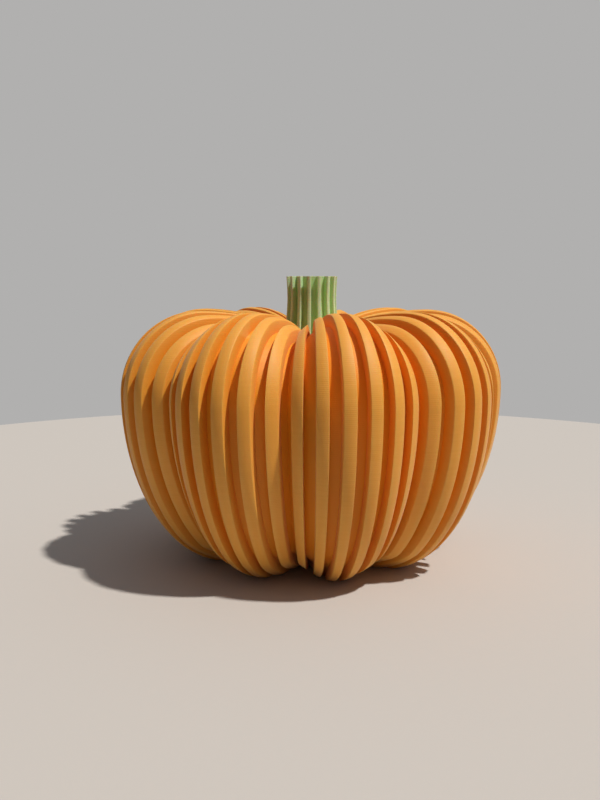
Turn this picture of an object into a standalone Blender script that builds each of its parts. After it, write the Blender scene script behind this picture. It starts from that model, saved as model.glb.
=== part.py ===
"""Ribbed pumpkin: a lobed body of flat-topped ribs, with a fluted stem plugged into its crown.

Metres, +Z up. The origin is the middle of the flat base, and the valley between two lobes faces -Y.
"""
from math import asin, cos, hypot, pi, radians, sin, sqrt

import bmesh
import bpy

# The body's plan: lobes like overlapping discs, each cut into ribs by radial grooves.
LOBES = 9
RIBS_PER_LOBE = 6
BODY_RADIUS = 0.060
LOBE_ROUNDING = 0.0222
RIB_SHARE = 0.49
GROOVE_DEPTH = 0.0034

# The body's side view, in the middle of a lobe: a belly, a shoulder and a crown that dips to the stem.
WIDEST_HEIGHT = 0.0520
BASE_CUT = 0.0010
BELLY_RADIUS = 0.0276
SHOULDER_RADIUS = 0.0366
SHOULDER_RISE = 0.0248
CROWN_DROP = 0.0058

# The valleys between the lobes.
VALLEY_DROP = 0.0060
VALLEY_DRAW = 0.70
VALLEY_TUCK = 5.0
TUCK_HEIGHT = 0.0085
VALLEY_EASE = 1.2
CROWN_VALLEY_SHARE = 0.65

# The stem and the round plug that holds it.
STEM_FLUTES = 15
STEM_TURN = radians(-10.7)
FLUTE_SHARE = 0.36
FLUTE_DEPTH = 0.0017
STEM_FOOT_RADIUS = 0.0090
STEM_WAIST_RADIUS = 0.0077
STEM_TOP_RADIUS = 0.0080
STEM_HEIGHT = 0.0240
STEM_WAIST_HEIGHT = 0.0167
FLARE_CURVE = 1.2
PLUG_RADIUS = 0.0050
PLUG_LENGTH = 0.0080

# Clearances.
TOUCH_GAP = 0.0003
RECESS_GAP = 0.0005
PLUG_GAP = 0.0003
SEAT_STEP = 0.0010
CUT_MARGIN = 0.0010

# Stations along each curve of the side view, sides of the round cuts, and the angle shaded as an edge.
BELLY_STATIONS = 9
SHOULDER_STATIONS = 6
CROWN_STATIONS = 3
STEM_STATIONS = 6
ROUND_SIDES = 32
EDGE_ANGLE = radians(35)

LOBE_ANGLE = 2 * pi / LOBES
FRONT = radians(-90)
LOBE_RING = BODY_RADIUS - LOBE_ROUNDING
BELLY_DEPTH = WIDEST_HEIGHT + BASE_CUT
TOP_HEIGHT = WIDEST_HEIGHT + SHOULDER_RISE
RECESS_RADIUS = STEM_FOOT_RADIUS + RECESS_GAP
CROWN_END = RECESS_RADIUS - CUT_MARGIN
LOWEST_GROOVE = TOP_HEIGHT - CROWN_DROP - VALLEY_DROP * CROWN_VALLEY_SHARE - GROOVE_DEPTH
SEAT_HEIGHT = LOWEST_GROOVE - SEAT_STEP


def clear_scene():
    """Start from an empty scene."""
    for thing in list(bpy.data.objects):
        bpy.data.objects.remove(thing, do_unlink=True)


def make_collection(name):
    """A new collection in the scene."""
    collection = bpy.data.collections.new(name)
    bpy.context.scene.collection.children.link(collection)
    return collection


def plastic(name, colour, roughness):
    """A plain printed plastic."""
    material = bpy.data.materials.new(name)
    material.use_nodes = True
    shader = material.node_tree.nodes["Principled BSDF"]
    shader.inputs["Base Color"].default_value = (*colour, 1.0)
    shader.inputs["Roughness"].default_value = roughness
    shader.inputs["Metallic"].default_value = 0.0
    return material


def lobe_reach(bearing):
    """How far the lobed plan reaches at a bearing, as a share of its reach in the middle of a lobe."""
    off_middle = (bearing - FRONT) % LOBE_ANGLE - LOBE_ANGLE / 2
    half_chord = LOBE_RING * sin(off_middle)
    reach = LOBE_RING * cos(off_middle) + sqrt(LOBE_ROUNDING ** 2 - half_chord ** 2)
    return reach / BODY_RADIUS


def body_stations():
    """The middle-of-lobe side view, base to crown.

    Each station is (radius, height, draw, drop, plan): how much deeper the valleys are drawn in,
    how much of the valley's drop applies, and how much of the lobed plan is left.
    """
    stations = []
    lowest = asin(WIDEST_HEIGHT / BELLY_DEPTH)
    for step in range(BELLY_STATIONS):
        turn = lowest * (1 - step / BELLY_STATIONS)
        radius = BELLY_RADIUS + (BODY_RADIUS - BELLY_RADIUS) * cos(turn)
        height = WIDEST_HEIGHT - BELLY_DEPTH * sin(turn)
        draw = VALLEY_DRAW * (1 - height / WIDEST_HEIGHT) ** 2
        draw += VALLEY_TUCK * max(0.0, 1 - height / TUCK_HEIGHT) ** 2
        stations.append((radius, height, draw, 0.0, 1.0))
    for step in range(SHOULDER_STATIONS):
        turn = pi / 2 * step / SHOULDER_STATIONS
        radius = SHOULDER_RADIUS + (BODY_RADIUS - SHOULDER_RADIUS) * cos(turn)
        rise = sin(turn)
        stations.append((radius, WIDEST_HEIGHT + SHOULDER_RISE * rise, 0.0, rise ** VALLEY_EASE, 1.0))
    for step in range(CROWN_STATIONS + 1):
        inward = step / CROWN_STATIONS
        radius = SHOULDER_RADIUS + (CROWN_END - SHOULDER_RADIUS) * inward
        height = TOP_HEIGHT - CROWN_DROP * inward ** 2
        stations.append((radius, height, 0.0, 1 - (1 - CROWN_VALLEY_SHARE) * inward, 1 - inward))
    return stations


def outward(stations, index):
    """The side view's outward direction at a station, as (sideways, up)."""
    if index == 0:
        return 1.0, 0.0
    if index == len(stations) - 1:
        return 0.0, 1.0
    before = stations[index - 1]
    after = stations[index + 1]
    along = (after[0] - before[0], after[1] - before[1])
    length = hypot(*along)
    return along[1] / length, -along[0] / length


def body_point(stations, index, bearing, is_crest):
    """A point of a rib's crest, or of the groove floor beside it."""
    radius, height, draw, drop, plan = stations[index]
    reach = lobe_reach(bearing)
    valley = (1 - reach) / (1 - lobe_reach(FRONT))
    radius *= 1 - plan * (1 - reach ** (1 + draw))
    height -= VALLEY_DROP * valley * drop
    if not is_crest:
        sideways, up = outward(stations, index)
        radius -= GROOVE_DEPTH * sideways
        height -= GROOVE_DEPTH * up
    return radius * cos(bearing), radius * sin(bearing), height


def ribbed_bearings(count, share, turn=0.0):
    """Bearing and crest flag of each corner around a ring of ribs, from a groove turned off the front."""
    pitch = 2 * pi / count
    half_crest = pitch * share / 2
    for rib in range(count):
        middle = FRONT + turn + pitch * (rib + 0.5)
        yield middle - half_crest, False
        yield middle - half_crest, True
        yield middle + half_crest, True
        yield middle + half_crest, False


def loft(name, rings, peak):
    """A closed solid through rings of points, bottom to top, with a flat base and a fan to a peak."""
    mesh = bpy.data.meshes.new(name)
    shape = bmesh.new()
    loops = [[shape.verts.new(point) for point in ring] for ring in rings]
    tip = shape.verts.new((0.0, 0.0, peak))
    shape.faces.new(list(reversed(loops[0])))
    for lower, upper in zip(loops, loops[1:] + [None]):
        for i in range(len(lower)):
            j = (i + 1) % len(lower)
            corners = (lower[i], lower[j], upper[j], upper[i]) if upper else (lower[i], lower[j], tip)
            shape.faces.new(corners)
    shape.to_mesh(mesh)
    shape.free()
    mesh.shade_smooth()
    mesh.set_sharp_from_angle(angle=EDGE_ANGLE)
    return mesh


def add_object(name, mesh, collection, material=None):
    """An object that shows a mesh."""
    thing = bpy.data.objects.new(name, mesh)
    collection.objects.link(thing)
    if material:
        mesh.materials.append(material)
    return thing


def cylinder(name, radius, low, high, collection):
    """A plain upright cylinder used as a cutter or a joiner."""
    mesh = bpy.data.meshes.new(name)
    shape = bmesh.new()
    bmesh.ops.create_cone(
        shape, cap_ends=True, segments=ROUND_SIDES, radius1=radius, radius2=radius, depth=high - low
    )
    bmesh.ops.translate(shape, verts=shape.verts, vec=(0, 0, (low + high) / 2))
    shape.to_mesh(mesh)
    shape.free()
    thing = add_object(name, mesh, collection)
    thing.hide_render = True
    thing.display_type = "WIRE"
    return thing


def boolean(target, tool, operation):
    """Cut a tool out of a target, or join it on."""
    modifier = target.modifiers.new(tool.name, "BOOLEAN")
    modifier.object = tool
    modifier.operation = operation
    modifier.solver = "EXACT"


def make_body(parts, cutters):
    """The ribbed body, with a round recess in its crown and a blind socket in the recess floor."""
    stations = body_stations()
    corners = list(ribbed_bearings(LOBES * RIBS_PER_LOBE, RIB_SHARE))
    rings = [
        [body_point(stations, index, bearing, is_crest) for bearing, is_crest in corners]
        for index in range(len(stations))
    ]
    orange = plastic("orange_printed_plastic", (0.86, 0.37, 0.09), 0.6)
    body = add_object("body", loft("body", rings, LOWEST_GROOVE), parts, orange)
    recess = cylinder("stem_recess", RECESS_RADIUS, SEAT_HEIGHT, TOP_HEIGHT, cutters)
    boolean(body, recess, "DIFFERENCE")
    socket_floor = SEAT_HEIGHT - PLUG_LENGTH - PLUG_GAP
    socket = cylinder("stem_socket", PLUG_RADIUS + PLUG_GAP, socket_floor, TOP_HEIGHT, cutters)
    boolean(body, socket, "DIFFERENCE")


def stem_radius(height):
    """The stem's crest radius at a height above its foot: a flared foot, a waist, a slightly wider top."""
    if height < STEM_WAIST_HEIGHT:
        away = (STEM_WAIST_HEIGHT - height) / STEM_WAIST_HEIGHT
        return STEM_WAIST_RADIUS + (STEM_FOOT_RADIUS - STEM_WAIST_RADIUS) * away ** FLARE_CURVE
    away = (height - STEM_WAIST_HEIGHT) / (STEM_HEIGHT - STEM_WAIST_HEIGHT)
    return STEM_WAIST_RADIUS + (STEM_TOP_RADIUS - STEM_WAIST_RADIUS) * away ** 2


def make_stem(parts, cutters):
    """The fluted stem, standing on the recess floor, with its plug joined under it."""
    foot = SEAT_HEIGHT + TOUCH_GAP
    corners = list(ribbed_bearings(STEM_FLUTES, FLUTE_SHARE, STEM_TURN))
    rings = []
    for step in range(STEM_STATIONS + 1):
        height = STEM_HEIGHT * step / STEM_STATIONS
        ring = []
        for bearing, is_crest in corners:
            radius = stem_radius(height) - (0.0 if is_crest else FLUTE_DEPTH)
            ring.append((radius * cos(bearing), radius * sin(bearing), foot + height))
        rings.append(ring)
    green = plastic("green_printed_plastic", (0.38, 0.50, 0.20), 0.6)
    stem = add_object("stem", loft("stem", rings, foot + STEM_HEIGHT), parts, green)
    plug = cylinder("stem_plug", PLUG_RADIUS, foot - PLUG_LENGTH, foot + PLUG_RADIUS, cutters)
    boolean(stem, plug, "UNION")


clear_scene()
part_collection = make_collection("ribbed_pumpkin")
cutter_collection = make_collection("cutters")
make_body(part_collection, cutter_collection)
make_stem(part_collection, cutter_collection)
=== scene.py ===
"""A ribbed pumpkin ornament, printed in two pieces: a lobed orange body and a fluted green stem.

Metres, +Z up. The origin is the middle of the flat base, and a valley between two lobes faces -Y.
"""
from math import asin, atan2, cos, hypot, pi, radians, sin, sqrt

import bmesh
import bpy
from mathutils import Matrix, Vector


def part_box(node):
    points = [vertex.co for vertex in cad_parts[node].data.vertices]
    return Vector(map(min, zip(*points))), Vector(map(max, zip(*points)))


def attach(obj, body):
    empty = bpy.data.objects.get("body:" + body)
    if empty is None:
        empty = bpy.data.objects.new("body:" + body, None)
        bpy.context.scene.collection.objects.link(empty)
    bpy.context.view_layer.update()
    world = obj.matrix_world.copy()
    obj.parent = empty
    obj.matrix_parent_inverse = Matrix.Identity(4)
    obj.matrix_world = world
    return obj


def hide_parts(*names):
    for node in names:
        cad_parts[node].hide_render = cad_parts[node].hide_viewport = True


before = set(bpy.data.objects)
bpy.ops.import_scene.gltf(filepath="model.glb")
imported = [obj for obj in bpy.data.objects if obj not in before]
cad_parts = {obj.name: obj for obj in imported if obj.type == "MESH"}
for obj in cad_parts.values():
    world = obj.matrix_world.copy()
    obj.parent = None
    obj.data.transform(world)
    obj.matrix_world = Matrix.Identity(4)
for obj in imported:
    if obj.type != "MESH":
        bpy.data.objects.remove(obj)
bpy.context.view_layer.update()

# ---------------------------------------------------------------------------------------------------
# The body.
# One print in matte orange PLA: nine lobes of six flat-topped ribs, printed upright in thin level
# layers. The ribs run from the flat first layer up over the shoulder and close in on the stem.

MM = 0.001
LOBES = 9
RIBS_PER_LOBE = 6
BODY_RADIUS = 60.0 * MM
LOBE_ROUNDING = 22.2 * MM
RIB_SHARE = 0.49
GROOVE_DEPTH = 3.4 * MM
WIDEST_HEIGHT = 52.0 * MM
BASE_CUT = 1.0 * MM
BELLY_RADIUS = 27.6 * MM
SHOULDER_RADIUS = 36.6 * MM
CROWN_DROP = 5.8 * MM
VALLEY_DROP = 6.0 * MM
VALLEY_DRAW = 0.70
VALLEY_TUCK = 5.0
TUCK_HEIGHT = 8.5 * MM
VALLEY_EASE = 1.2
CROWN_VALLEY_SHARE = 0.65

# How finely the shapes are drawn, and how the ribs' outer edges are rounded.
BELLY_RINGS = 26
SHOULDER_RINGS = 20
CROWN_RINGS = 14
HOLE_SIDES = 96
CORNER_ROUNDING = 0.25 * MM
ROUNDED_ANGLE = radians(45)
SHARP_ANGLE = radians(40)

LOBE_ANGLE = 2 * pi / LOBES
FRONT = radians(-90)
LOBE_RING = BODY_RADIUS - LOBE_ROUNDING
BELLY_DEPTH = WIDEST_HEIGHT + BASE_CUT
TOP_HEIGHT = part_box("body")[1][2]
SHOULDER_RISE = TOP_HEIGHT - WIDEST_HEIGHT
LOWEST_GROOVE = TOP_HEIGHT - CROWN_DROP - VALLEY_DROP * CROWN_VALLEY_SHARE - GROOVE_DEPTH

# The stem's foot decides the round recess in the crown, and its plug the socket in the recess floor.
STEM_FOOT_RADIUS = 9.0 * MM
PLUG_RADIUS = 5.0 * MM
PLUG_LENGTH = 8.0 * MM
TOUCH_GAP = 0.3 * MM
RECESS_GAP = 0.5 * MM
PLUG_GAP = 0.3 * MM
SEAT_STEP = 1.0 * MM
CUT_MARGIN = 1.0 * MM
RECESS_RADIUS = STEM_FOOT_RADIUS + RECESS_GAP
CROWN_END = RECESS_RADIUS - CUT_MARGIN
SEAT_HEIGHT = LOWEST_GROOVE - SEAT_STEP
SOCKET_RADIUS = PLUG_RADIUS + PLUG_GAP
SOCKET_FLOOR = SEAT_HEIGHT - PLUG_LENGTH - PLUG_GAP


def lobe_reach(bearing):
    """How far the lobed plan reaches at a bearing, as a share of its reach in the middle of a lobe."""
    off_middle = (bearing - FRONT) % LOBE_ANGLE - LOBE_ANGLE / 2
    half_chord = LOBE_RING * sin(off_middle)
    reach = LOBE_RING * cos(off_middle) + sqrt(LOBE_ROUNDING ** 2 - half_chord ** 2)
    return reach / BODY_RADIUS


def body_stations():
    """The side view in the middle of a lobe, base to crown.

    Each station is (radius, height, draw, drop, plan): how much deeper the valleys are drawn in,
    how much of the valley's drop applies, and how much of the lobed plan is left.
    """
    stations = []
    lowest = asin(WIDEST_HEIGHT / BELLY_DEPTH)
    for ring in range(BELLY_RINGS):
        turn = lowest * (1 - ring / BELLY_RINGS)
        radius = BELLY_RADIUS + (BODY_RADIUS - BELLY_RADIUS) * cos(turn)
        height = WIDEST_HEIGHT - BELLY_DEPTH * sin(turn)
        draw = VALLEY_DRAW * (1 - height / WIDEST_HEIGHT) ** 2
        draw += VALLEY_TUCK * max(0.0, 1 - height / TUCK_HEIGHT) ** 2
        stations.append((radius, height, draw, 0.0, 1.0))
    for ring in range(SHOULDER_RINGS):
        turn = pi / 2 * ring / SHOULDER_RINGS
        radius = SHOULDER_RADIUS + (BODY_RADIUS - SHOULDER_RADIUS) * cos(turn)
        rise = sin(turn)
        stations.append((radius, WIDEST_HEIGHT + SHOULDER_RISE * rise, 0.0, rise ** VALLEY_EASE, 1.0))
    for ring in range(CROWN_RINGS + 1):
        inward = ring / CROWN_RINGS
        radius = SHOULDER_RADIUS + (CROWN_END - SHOULDER_RADIUS) * inward
        height = TOP_HEIGHT - CROWN_DROP * inward ** 2
        stations.append((radius, height, 0.0, 1 - (1 - CROWN_VALLEY_SHARE) * inward, 1 - inward))
    return stations


def body_point(stations, index, bearing, is_crest):
    """A point of a rib's crest, or of the groove floor beside it."""
    radius, height, draw, drop, plan = stations[index]
    reach = lobe_reach(bearing)
    valley = (1 - reach) / (1 - lobe_reach(FRONT))
    radius *= 1 - plan * (1 - reach ** (1 + draw))
    height -= VALLEY_DROP * valley * drop
    if not is_crest:
        sideways, up = 1.0, 0.0
        if index == len(stations) - 1:
            sideways, up = 0.0, 1.0
        elif index > 0:
            before, after = stations[index - 1], stations[index + 1]
            length = hypot(after[0] - before[0], after[1] - before[1])
            sideways, up = (after[1] - before[1]) / length, (before[0] - after[0]) / length
        radius -= GROOVE_DEPTH * sideways
        height -= GROOVE_DEPTH * up
    return radius * cos(bearing), radius * sin(bearing), height


def ribbed_corners(count, share, turn=0.0):
    """Bearing and crest flag of the six points that draw each rib and half the grooves beside it."""
    pitch = 2 * pi / count
    half_crest = pitch * share / 2
    corners = []
    for rib in range(count):
        middle = FRONT + turn + pitch * (rib + 0.5)
        corners.append((middle - pitch / 2, False))
        corners.append((middle - half_crest, False))
        corners.append((middle - half_crest, True))
        corners.append((middle, True))
        corners.append((middle + half_crest, True))
        corners.append((middle + half_crest, False))
    return corners


def draw_up(shape, corner_count, ring_count, place):
    """Extrude a ring of points upwards, ring by ring. place(ring, corner) gives each point."""
    made = bmesh.ops.create_circle(shape, segments=corner_count, radius=1.0)
    ring = sorted(made["verts"], key=lambda v: atan2(v.co.y, v.co.x) % (2 * pi))
    edges = list(shape.edges)
    for corner, vert in enumerate(ring):
        vert.co = place(0, corner)
    for level in range(1, ring_count):
        made = bmesh.ops.extrude_edge_only(shape, edges=edges)["geom"]
        edges = [item for item in made if isinstance(item, bmesh.types.BMEdge)]
        raised = {item for item in made if isinstance(item, bmesh.types.BMVert)}
        ring = [
            next(e.other_vert(v) for e in v.link_edges if e.other_vert(v) in raised) for v in ring
        ]
        for corner, vert in enumerate(ring):
            vert.co = place(level, corner)
    bmesh.ops.recalc_face_normals(shape, faces=shape.faces)


def round_ribs(shape):
    """Round the long outer edges of the ribs, as the nozzle's bead does."""
    inner_edges = [e for e in shape.edges if not e.is_boundary]
    long_edges = [e for e in inner_edges if e.calc_face_angle_signed() > ROUNDED_ANGLE]
    bmesh.ops.bevel(
        shape, geom=long_edges, offset=CORNER_ROUNDING, offset_type="OFFSET", affect="EDGES",
        segments=2, profile=0.5, material=-1, clamp_overlap=False,
    )


def open_rims(shape):
    """The open edges at the bottom and at the top."""
    middle = sum(v.co.z for v in shape.verts) / len(shape.verts)
    rims = [e for e in shape.edges if e.is_boundary]
    low = [e for e in rims if e.verts[0].co.z < middle]
    high = [e for e in rims if e.verts[0].co.z > middle]
    return low, high


def finish_mesh(shape, name, material):
    """Turn a bmesh into an object with outward faces, smooth except over its sharp edges."""
    bmesh.ops.recalc_face_normals(shape, faces=shape.faces)
    mesh = bpy.data.meshes.new(name)
    shape.to_mesh(mesh)
    shape.free()
    mesh.materials.append(material)
    mesh.shade_smooth()
    mesh.set_sharp_from_angle(angle=SHARP_ANGLE)
    thing = bpy.data.objects.new(name, mesh)
    bpy.context.scene.collection.objects.link(thing)
    return thing


def linear(hex_colour):
    """A shader colour from an sRGB hex value, by the sRGB standard's own curve."""
    colour = []
    for start in (1, 3, 5):
        channel = int(hex_colour[start:start + 2], 16) / 255
        colour.append(channel / 12.92 if channel <= 0.04045 else ((channel + 0.055) / 1.055) ** 2.4)
    return colour + [1.0]


def node(tree, kind, links=(), **settings):
    """Add a shader node. A setting named with a leading i_ goes to the input of that name."""
    made = tree.nodes.new(kind)
    for name, value in settings.items():
        if name.startswith("i_"):
            made.inputs[name[2:].replace("_", " ")].default_value = value
        else:
            setattr(made, name, value)
    for source, target in links:
        tree.links.new(source, made.inputs[target])
    return made


# Real layers are 0.2 mm; 0.5 mm is the finest that still shows on the whole piece.
LAYER_STEP = 0.5 * MM
BAND_LENGTH = pi / 10
LAYER_DEPTH = 0.05 * MM
LAYER_STRENGTH = 0.35
STREAK_DENSITY = (60.0, 60.0, 1500.0)
CLOUD_DENSITY = 45.0
MOTTLE_LOW = 0.12
MOTTLE_HIGH = 0.38
SMOOTHEST = 0.50
ROUGHEST = 0.66

# Pointiness is 0.5 on a flat face, less in a hollow and more at an outer edge.
HOLLOW_CURVE = 0.46
OUTER_CURVE = 0.54

# A mix node gives its number, vector and colour sockets the same names, so they go by number.
MIX_FACTOR, MIX_FIRST, MIX_SECOND, MIX_RESULT = 0, 6, 7, 2


def printed_pla(name, colour, shade, hollow, light_depth):
    """Matte printed PLA: fine level layers, a little light through the thin ribs, painted shade in
    hollows.
    """
    material = bpy.data.materials.new(name)
    material.use_nodes = True
    tree = material.node_tree
    shader = tree.nodes["Principled BSDF"]
    place = node(tree, "ShaderNodeTexCoord").outputs["Object"]
    layers = node(
        tree, "ShaderNodeTexWave", [(place, "Vector")], wave_type="BANDS", bands_direction="Z",
        i_Scale=BAND_LENGTH / LAYER_STEP,
    )
    streaked = node(tree, "ShaderNodeMapping", [(place, "Vector")])
    streaked.inputs["Scale"].default_value = STREAK_DENSITY
    streaks = node(
        tree, "ShaderNodeTexNoise", [(streaked.outputs["Vector"], "Vector")], i_Scale=1.0, i_Detail=3.0
    ).outputs["Fac"]
    cloud = node(
        tree, "ShaderNodeTexNoise", [(place, "Vector")], i_Scale=CLOUD_DENSITY, i_Detail=2.0
    ).outputs["Fac"]
    mottle = node(tree, "ShaderNodeMath", [(streaks, 0), (cloud, 1)], operation="MULTIPLY")
    ramp = node(tree, "ShaderNodeValToRGB", [(mottle.outputs["Value"], "Fac")])
    darker, lighter = ramp.color_ramp.elements
    darker.position, darker.color = MOTTLE_LOW, linear(shade)
    lighter.position, lighter.color = MOTTLE_HIGH, linear(colour)
    # Painted shade: hollows between ribs get a deeper, more saturated colour; outer faces keep the
    # plain one.
    curve = node(tree, "ShaderNodeNewGeometry").outputs["Pointiness"]
    hollow_shade_mask = node(
        tree, "ShaderNodeMapRange", [(curve, "Value")], i_From_Min=HOLLOW_CURVE, i_From_Max=OUTER_CURVE
    )
    shaded_base_colour = node(
        tree, "ShaderNodeMix",
        [(hollow_shade_mask.outputs["Result"], MIX_FACTOR), (ramp.outputs["Color"], MIX_SECOND)],
        data_type="RGBA",
    )
    # The hollow colour is painted shade.
    shaded_base_colour.inputs[MIX_FIRST].default_value = linear(hollow)
    tree.links.new(shaded_base_colour.outputs[MIX_RESULT], shader.inputs["Base Color"])
    relief = node(tree, "ShaderNodeMath", [(layers.outputs["Fac"], 0), (streaks, 1)], operation="ADD")
    bump = node(
        tree, "ShaderNodeBump", [(relief.outputs["Value"], "Height")],
        i_Strength=LAYER_STRENGTH, i_Distance=LAYER_DEPTH,
    )
    tree.links.new(bump.outputs["Normal"], shader.inputs["Normal"])
    gloss = node(
        tree, "ShaderNodeMapRange", [(streaks, "Value")], i_To_Min=SMOOTHEST, i_To_Max=ROUGHEST
    )
    tree.links.new(gloss.outputs["Result"], shader.inputs["Roughness"])
    shader.inputs["IOR"].default_value = 1.46
    shader.inputs["Sheen Weight"].default_value = 0.15
    shader.inputs["Sheen Roughness"].default_value = 0.5
    shader.inputs["Sheen Tint"].default_value = linear("#FFF6E8")
    shader.inputs["Subsurface Weight"].default_value = 0.25
    shader.inputs["Subsurface Radius"].default_value = (1.0, 0.45, 0.1)
    shader.inputs["Subsurface Scale"].default_value = light_depth
    return material


# The third colour is painted shade for the hollows between the ribs.
orange_pla = printed_pla("printed_matte_orange_PLA", "#EFAB48", "#EAA540", "#EC960C", 2.5 * MM)
stations = body_stations()
corners = ribbed_corners(LOBES * RIBS_PER_LOBE, RIB_SHARE)
shape = bmesh.new()
draw_up(
    shape, len(corners), len(stations),
    lambda ring, corner: body_point(stations, ring, *corners[corner]),
)
round_ribs(shape)
base_edges, crown_edges = open_rims(shape)
tip = bmesh.ops.extrude_edge_only(shape, edges=crown_edges)["geom"]
tip_points = [item for item in tip if isinstance(item, bmesh.types.BMVert)]
bmesh.ops.pointmerge(shape, verts=tip_points, merge_co=(0.0, 0.0, LOWEST_GROOVE))
bmesh.ops.contextual_create(shape, geom=base_edges)
body = finish_mesh(shape, "ribbed_body", orange_pla)


def add_bar(shape, radius, low, high, sides):
    """Add an upright round bar to a bmesh."""
    bar = bmesh.ops.create_cone(
        shape, cap_ends=True, segments=sides, radius1=radius, radius2=radius, depth=high - low
    )
    bmesh.ops.translate(shape, verts=bar["verts"], vec=(0, 0, (low + high) / 2))


def upright_cutter(name, radius, low, high):
    """A round bar that cuts a hole and is then thrown away."""
    shape = bmesh.new()
    add_bar(shape, radius, low, high, HOLE_SIDES)
    return finish_mesh(shape, name, orange_pla)


def cut(target, cutters):
    """Cut bars out of a piece for good."""
    for bar in cutters:
        cutting = target.modifiers.new(bar.name, "BOOLEAN")
        cutting.object = bar
        cutting.operation = "DIFFERENCE"
        cutting.solver = "EXACT"
    bpy.context.view_layer.update()
    evaluated = target.evaluated_get(bpy.context.evaluated_depsgraph_get())
    whole = bpy.data.meshes.new_from_object(evaluated)
    target.modifiers.clear()
    target.data = whole
    for bar in cutters:
        bpy.data.objects.remove(bar, do_unlink=True)


cut(body, [
    upright_cutter("stem_recess", RECESS_RADIUS, SEAT_HEIGHT, TOP_HEIGHT),
    upright_cutter("stem_socket", SOCKET_RADIUS, SOCKET_FLOOR, TOP_HEIGHT),
])
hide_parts("body")
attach(body, "root")

# ---------------------------------------------------------------------------------------------------
# The stem.
# A second print in pale green PLA: fifteen flutes on a waisted post that flares at its foot. A round
# plug under the foot pushes into the socket in the body's crown.

STEM_FLUTES = 15
STEM_TURN = radians(-10.7)
FLUTE_SHARE = 0.36
FLUTE_DEPTH = 1.7 * MM
STEM_WAIST_RADIUS = 7.7 * MM
STEM_TOP_RADIUS = 8.0 * MM
STEM_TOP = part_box("stem")[1][2]
STEM_FOOT = SEAT_HEIGHT + TOUCH_GAP
STEM_HEIGHT = STEM_TOP - STEM_FOOT
STEM_WAIST_HEIGHT = 16.7 * MM
FLARE_CURVE = 1.2
STEM_RINGS = 28
PLUG_SIDES = 48
PLUG_ROOT = 1.0 * MM


def stem_radius(height):
    """The stem's radius at a height above its foot: a flared foot, a waist, a slightly wider top."""
    if height < STEM_WAIST_HEIGHT:
        away = (STEM_WAIST_HEIGHT - height) / STEM_WAIST_HEIGHT
        return STEM_WAIST_RADIUS + (STEM_FOOT_RADIUS - STEM_WAIST_RADIUS) * away ** FLARE_CURVE
    away = (height - STEM_WAIST_HEIGHT) / (STEM_HEIGHT - STEM_WAIST_HEIGHT)
    return STEM_WAIST_RADIUS + (STEM_TOP_RADIUS - STEM_WAIST_RADIUS) * away ** 2


def stem_point(ring, corner):
    """A point of a flute's crest, or of the hollow beside it."""
    bearing, is_crest = flutes[corner]
    height = STEM_HEIGHT * ring / STEM_RINGS
    radius = stem_radius(height) - (0.0 if is_crest else FLUTE_DEPTH)
    return radius * cos(bearing), radius * sin(bearing), STEM_FOOT + height


# The third colour is painted shade for the hollows between the flutes.
green_pla = printed_pla("printed_matte_green_PLA", "#D2EEC2", "#CAE6B8", "#BCE4A2", 1.0 * MM)
flutes = ribbed_corners(STEM_FLUTES, FLUTE_SHARE, STEM_TURN)
shape = bmesh.new()
draw_up(shape, len(flutes), STEM_RINGS + 1, stem_point)
round_ribs(shape)
foot_edges, top_edges = open_rims(shape)
bmesh.ops.contextual_create(shape, geom=foot_edges)
bmesh.ops.contextual_create(shape, geom=top_edges)
add_bar(shape, PLUG_RADIUS, STEM_FOOT - PLUG_LENGTH, STEM_FOOT + PLUG_ROOT, PLUG_SIDES)
stem = finish_mesh(shape, "fluted_stem", green_pla)
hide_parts("stem")
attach(stem, "root")

# ---------------------------------------------------------------------------------------------------
# The studio.
# A pale matte table, a key light from the right, a soft light all round and a plain grey backdrop.

TABLE_RADIUS = 300 * MM
TABLE_THICKNESS = 20 * MM
TABLE_SIDES = 160
GRIT_DEPTH = 0.2 * MM


def painted(name, colour, roughness):
    """Plain matte paint with a faint roller texture."""
    material = bpy.data.materials.new(name)
    material.use_nodes = True
    tree = material.node_tree
    shader = tree.nodes["Principled BSDF"]
    place = node(tree, "ShaderNodeTexCoord").outputs["Object"]
    grit = node(tree, "ShaderNodeTexNoise", [(place, "Vector")], i_Scale=400.0, i_Detail=3.0)
    bump = node(
        tree, "ShaderNodeBump", [(grit.outputs["Fac"], "Height")],
        i_Strength=0.15, i_Distance=GRIT_DEPTH,
    )
    tree.links.new(bump.outputs["Normal"], shader.inputs["Normal"])
    shader.inputs["Base Color"].default_value = linear(colour)
    shader.inputs["Roughness"].default_value = roughness
    return material


shape = bmesh.new()
add_bar(shape, TABLE_RADIUS, -TABLE_THICKNESS, 0.0, TABLE_SIDES)
table = finish_mesh(shape, "round_table_top", painted("pale_matte_table_paint", "#C3BFBB", 0.85))

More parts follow.
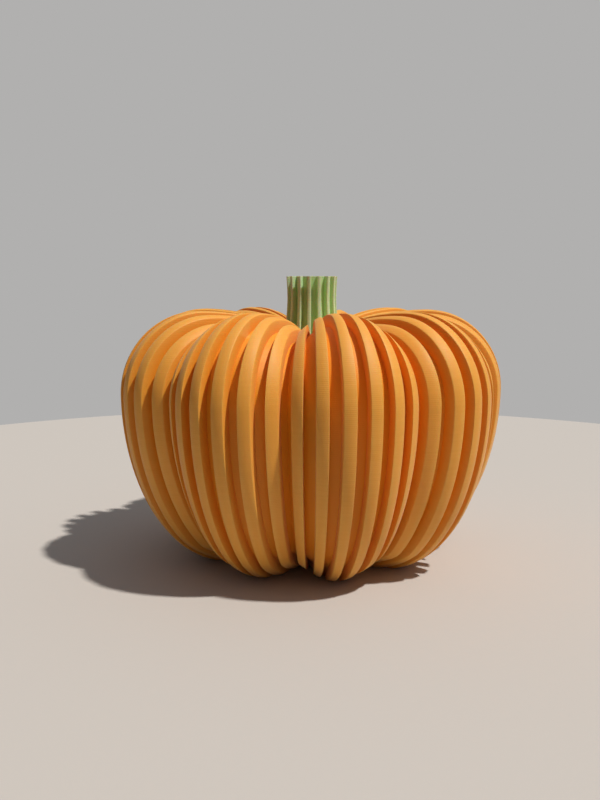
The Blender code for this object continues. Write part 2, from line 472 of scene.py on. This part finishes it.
KEY_AZIMUTH = radians(-17)
KEY_ELEVATION = radians(60.5)
key = bpy.data.lights.new("key", "SUN")
key.energy = 3.3
key.angle = radians(2.5)
key.color = linear("#FFF8EF")[:3]
key_lamp = bpy.data.objects.new("key", key)
key_lamp.rotation_euler = (0.0, pi / 2 - KEY_ELEVATION, KEY_AZIMUTH)
bpy.context.scene.collection.objects.link(key_lamp)

# The soft light is strongest from above and behind, as from a white wall.
BRIGHT_SIDE = (0.15, 0.55, 0.82)
FAINTEST = 0.09
BRIGHTEST = 0.38
world = bpy.data.worlds.new("soft_studio_light")
world.use_nodes = True
tree = world.node_tree
soft_light = tree.nodes["Background"]
soft_light.inputs["Color"].default_value = linear("#F4F6FA")
towards = node(tree, "ShaderNodeVectorMath", operation="DOT_PRODUCT")
tree.links.new(node(tree, "ShaderNodeTexCoord").outputs["Generated"], towards.inputs[0])
towards.inputs[1].default_value = BRIGHT_SIDE
strength = node(
    tree, "ShaderNodeMapRange", [(towards.outputs["Value"], "Value")],
    i_To_Min=FAINTEST, i_To_Max=BRIGHTEST,
)
tree.links.new(strength.outputs["Result"], soft_light.inputs["Strength"])
backdrop = node(tree, "ShaderNodeBackground", i_Color=linear("#B1B0AF"), i_Strength=1.0)
ray = node(tree, "ShaderNodeLightPath")
seen = node(tree, "ShaderNodeMixShader", [
    (ray.outputs["Is Camera Ray"], 0),
    (soft_light.outputs["Background"], 1),
    (backdrop.outputs["Background"], 2),
])
tree.links.new(seen.outputs["Shader"], tree.nodes["World Output"].inputs["Surface"])
bpy.context.scene.world = world
bpy.context.scene.view_settings.view_transform = "Standard"

CAMERA_BEARING = radians(7.2)
CAMERA_DISTANCE = 263.3 * MM
CAMERA_HEIGHT = 84.5 * MM
CAMERA_TILT = radians(7.89)
CAMERA_ASIDE = radians(0.80)
camera = bpy.data.objects.new("camera", bpy.data.cameras.new("camera"))
camera.data.sensor_width = 36.0
camera.data.lens = 37.5
camera.data.clip_start = 0.01
camera.location = (
    CAMERA_DISTANCE * sin(CAMERA_BEARING), -CAMERA_DISTANCE * cos(CAMERA_BEARING), CAMERA_HEIGHT
)
camera.rotation_euler = (pi / 2 - CAMERA_TILT, 0.0, CAMERA_BEARING + CAMERA_ASIDE)
bpy.context.scene.collection.objects.link(camera)
bpy.context.scene.camera = camera

bpy.context.view_layer.update()
